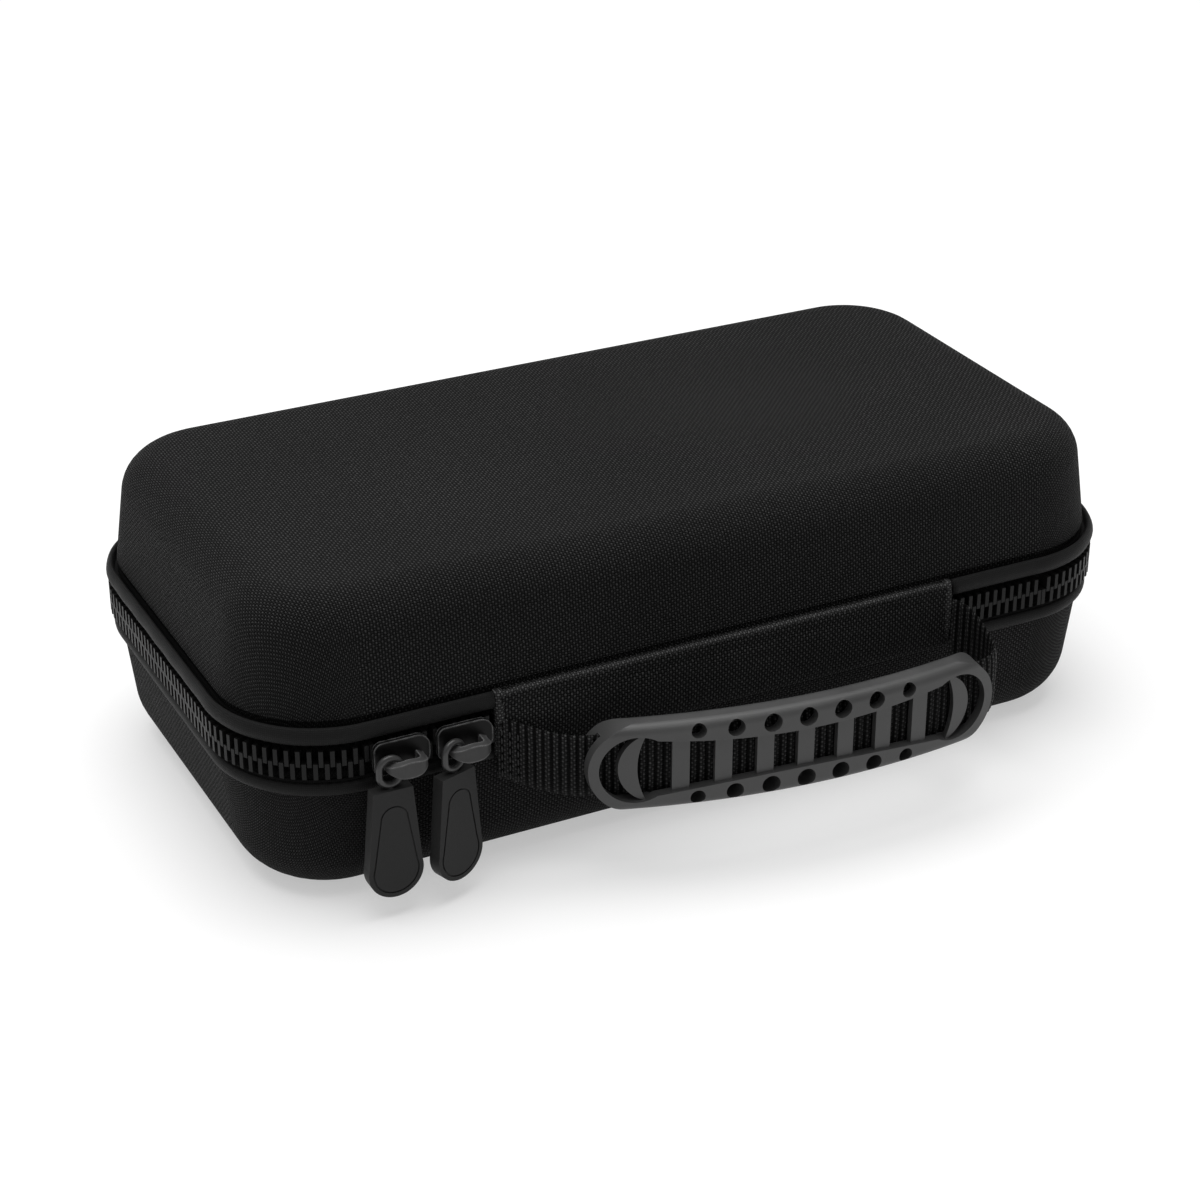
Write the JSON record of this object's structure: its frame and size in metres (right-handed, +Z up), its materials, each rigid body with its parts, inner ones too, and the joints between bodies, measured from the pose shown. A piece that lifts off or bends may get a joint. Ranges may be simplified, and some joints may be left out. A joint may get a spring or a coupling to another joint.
{
  "type": "controller carrying case",
  "caption": "Hard-shell zipped carrying case for a game controller, with a padded hinge spine, a webbing handle with moulded grip, and a foam insert.",
  "frame": {"origin": "on the ground under the middle of the closed shell", "axes": "+X along the front to the right as seen from the handle's side, +Y towards the back, +Z up; the case rests on its base"},
  "size_m": [0.2972, 0.1871, 0.096],
  "materials": {
    "shell_fabric": "woven cover over moulded foam",
    "spine_fabric": "the shell's woven cover over padding",
    "piping": "smooth woven piping",
    "zip_tape": "woven tape",
    "zip_teeth": "moulded teeth",
    "binding": "ribbed binding tape",
    "foam": "flocked foam",
    "elastic": "ribbed elastic",
    "net": "open net",
    "webbing": "ribbed webbing",
    "grip": "satin moulded rubber",
    "slider_metal": "satin grey coating",
    "ring_metal": "satin grey coating",
    "pull_rubber": "matte moulded rubber"
  },
  "bodies": {
    "base": {"base_shell": "shell_fabric", "base_piping": "piping", "base_zip_tape": "zip_tape", "base_zip_teeth": "zip_teeth", "base_seam_binding": "binding", "foam_insert": "foam", "controller_strap": "elastic"},
    "spine": {"spine_panel": "spine_fabric"},
    "lid": {"lid_shell": "shell_fabric", "lid_piping": "piping", "lid_zip_tape": "zip_tape", "lid_zip_teeth": "zip_teeth", "lid_seam_binding": "binding", "mesh_pocket": "net", "pocket_hem": "elastic"},
    "handle": {"handle_webbing": "webbing", "handle_grip": "grip"},
    "slider_l": {"slider_left": "slider_metal"},
    "slider_r": {"slider_right": "slider_metal"},
    "pull_l": {"pull_ring_left": "ring_metal", "pull_tab_left": "pull_rubber"},
    "pull_r": {"pull_ring_right": "ring_metal", "pull_tab_right": "pull_rubber"}
  },
  "joints": [
    {"name": "spine_fold", "type": "hinge", "parent": "base", "child": "spine", "pos_m": [0, -0.079, 0.038], "axis": [1, 0, 0], "range_deg": [0, 45]},
    {"name": "lid_fold", "type": "hinge", "parent": "spine", "child": "lid", "pos_m": [0, -0.079, 0.062], "axis": [1, 0, 0], "range_deg": [0, 45], "deforming": ["lid_zip_teeth"]},
    {"name": "handle_swing", "type": "hinge", "parent": "spine", "child": "handle", "pos_m": [0, -0.079, 0.044], "axis": [-1, 0, 0], "range_deg": [-10, 50], "deforming": ["handle_webbing"]},
    {"name": "slider_left_slide", "type": "slide", "parent": "base", "child": "slider_l", "axis": [1, 0, 0], "range_m": [-0.0065, 0.0009], "deforming": ["base_zip_teeth", "lid_zip_teeth"]},
    {"name": "slider_right_slide", "type": "slide", "parent": "base", "child": "slider_r", "axis": [1, 0, 0], "range_m": [-0.0009, 0.0016], "deforming": ["base_zip_teeth", "lid_zip_teeth"]},
    {"name": "pull_left_swing", "type": "hinge", "parent": "slider_l", "child": "pull_l", "pos_m": [-0.1092, -0.08225, 0.0482], "axis": [0, 1, 0], "range_deg": [-2, 40]},
    {"name": "pull_right_swing", "type": "hinge", "parent": "slider_r", "child": "pull_r", "pos_m": [-0.0898, -0.08225, 0.0482], "axis": [0.309, -0.9511, 0], "range_deg": [-2, 8]}
  ],
  "couplings": [
    {"joint": "spine_fold", "follows": "lid_fold", "ratio": 1}
  ]
}
